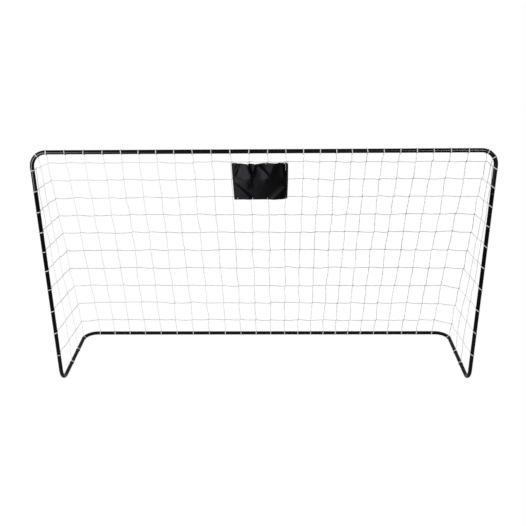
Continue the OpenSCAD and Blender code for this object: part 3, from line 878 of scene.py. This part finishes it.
def build_panel(nylon, thread):
    """The folded cloth with its raised hem, and the stitches that hold the hem."""
    nu, nv = 96, 84                       # faces across and down
    u, v = np.meshgrid(np.arange(nu + 1) / nu, np.arange(nv + 1) / nv)
    edge = np.minimum(np.minimum(u, 1 - u) * PANEL_W, np.minimum(v, 1 - v) * PANEL_H)
    hem = HEM_T / (1 + np.exp((edge - HEM_W) / (0.6 * MM)))
    ripple = 0.25 * MM * np.sin(u * PANEL_W / (9 * MM)) * np.exp(-edge / (14 * MM))
    points = panel_point(u, v, hem + ripple).reshape(-1, 3)
    at = np.arange((nu + 1) * (nv + 1)).reshape(nv + 1, nu + 1)
    faces = np.stack([at[:-1, :-1], at[1:, :-1], at[1:, 1:], at[:-1, 1:]], -1).reshape(-1, 4)
    mesh = bpy.data.meshes.new("cloth_panel_folded")
    mesh.from_pydata(points.tolist(), [], faces.tolist())
    lay = mesh.uv_layers.new(name="lay")
    threads = np.stack([u * PANEL_W, v * PANEL_H], -1).reshape(-1, 2) / WEAVE
    lay.data.foreach_set("uv", threads[faces.ravel()].ravel())
    mesh.shade_smooth()
    panel = add_piece("cloth_panel_folded", mesh, nylon, "cloth", "cloth_panel")
    thick = panel.modifiers.new("thickness", "SOLIDIFY")
    thick.thickness = CLOTH_T
    thick.offset = 0

    seam = Cords()
    left, right, top, low = SEAM_INSET, PANEL_W - SEAM_INSET, SEAM_INSET, PANEL_H - SEAM_INSET
    corners = [(left, top), (right, top), (right, low), (left, low)]
    lift = np.array([0.25, 0.75, 0.85, 0.75, 0.25]) * MM
    for a, b in zip(corners, corners[1:] + corners[:1]):
        a, b = np.array(a), np.array(b)
        count = round(np.linalg.norm(b - a) / STITCH_LEN)
        for n in range(count):
            t = (n + np.array([0.12, 0.3, 0.5, 0.7, 0.88])) / count
            flat = a + t[:, None] * (b - a)
            stitch = panel_point(flat[:, 0] / PANEL_W, flat[:, 1] / PANEL_H, lift)
            seam.sweep(stitch, radius=0.22 * MM, sides=5)
    stitches = seam.make("panel_stitches", thread, "cloth")
    return panel


def build_ties(yarn):
    """Cord loops that tie the panel's top and bottom hems to the net, and its lacing."""
    ties = Cords()
    top_hem = (0.012, 0, -1, (0.01, 0.29, 0.61, 0.93, 0.99))
    low_hem = (0.97, 2, 1, (0.07, 0.35, 0.63, 0.97))
    for v, row, outward, places in (top_hem, low_hem):
        for u in places:
            hem = panel_point(np.array([u]), np.array([v]), np.array([1.6 * MM]))[0]
            behind = on_slope(hem[0] + 1 * MM, row_s(row), 2.6 * MM)
            over = hem - 1.0 * MM * BACK
            past = (over + behind) / 2 + outward * 7 * MM * DOWN
            inner = (over + behind) / 2 - outward * 4 * MM * DOWN
            ties.sweep(smooth([inner, over, past, behind, inner], 5), radius=0.8 * CORD_R, sides=6)
            knot(ties, over, BACK, DOWN, 0.8)
    # A short cord down the top right, and small stitches down the rest of the right edge
    along = np.array((-0.01, 0.02, 0.08, 0.14, 0.19, 0.21))
    lift = np.array((1.5, 1.0, 0.9, 0.9, 0.6, -0.8)) * MM
    lacing = panel_point(np.full(len(along), 0.955), along, lift)
    ties.sweep(smooth(lacing, 3), radius=0.6 * MM, sides=6)
    across, lift = np.array((0.983, 0.988, 0.993)), np.array((0.3, 0.7, 0.3)) * MM
    for v in np.arange(0.26, 0.94, 0.045):
        ties.sweep(panel_point(across, np.full(len(across), v), lift), radius=0.4 * MM, sides=5)
    ties.make("panel_ties", yarn, "net_cord")


# ---------------------------------------------------------------- the scene

bpy.context.scene.view_settings.view_transform = "Standard"
aim_camera()
white_studio()
softbox("key_softbox", (-2.3, -2.1, 2.2), (-0.6, 0, 0.7), width=1.5, height=1.5, power=38)
top_tubes = [frame["nodes"][f"{tube}_{side}"]
             for tube in ("crossbar", "top_corner") for side in ("left", "right")]
softbox("left_strip", (-2.15, -2.75, 0.8), (-1.15, -0.29, 1.39),
        width=0.7, height=0.2, power=500, lit=top_tubes)
softbox("right_strip", (2.05, -3.3, 2.2), (1.15, -0.29, 1.39),
        width=0.7, height=0.2, power=580, lit=top_tubes)

ground = bpy.data.meshes.new("floor")
corners = [(x * FLOOR_HALF, y * FLOOR_HALF, 0) for x, y in ((-1, -1), (1, -1), (1, 1), (-1, 1))]
ground.from_pydata(corners, [], [(0, 1, 2, 3)])
ground.materials.append(pale_floor())
floor = bpy.data.objects.new("floor", ground)
bpy.context.scene.collection.objects.link(floor)

finishes = {
    "tube": black_paint(),
    "button": plated_steel("button_zinc", (0.13, 0.13, 0.128, 1), roughness=0.46),
    "spring_steel": plated_steel("spring_steel", (0.42, 0.42, 0.43, 1), roughness=0.4),
}
for subpart in frame["record"]["subparts"]:
    finish = finishes.get(subpart["material_slot"])
    if finish:
        for held in frame["nodes"][subpart["node"]].material_slots:
            held.material = finish
for joint in frame["record"]["behaviour"]["joints"]:
    flexing_spring(joint, finishes["spring_steel"])

# Painted light by height and painted shade towards the right, for the net and the panel's ties
painted_paleness_stops = ((0.19, 0.84), (0.33, 1.0), (0.6, 0.62), (0.66, 0.5))
yarn = net_yarn("net_yarn", dulled=0.74, wear_and_shade=0.48, heights=painted_paleness_stops)
build_net(yarn)
# The loops get dark spots and a painted shade that darkens them towards the left
build_loops(net_yarn("loop_yarn", dulled=0.32, wear_and_shade=-0.12))
panel = build_panel(black_nylon(), black_thread())
build_ties(yarn)
panel_light = softbox("panel_light", (-0.38, -0.78, 0.11), (-0.015, -0.21, 1.21),
                      width=0.45, height=0.45, power=17, lit=[panel])
panel_light.data.color = (0.94, 0.92, 1.0)
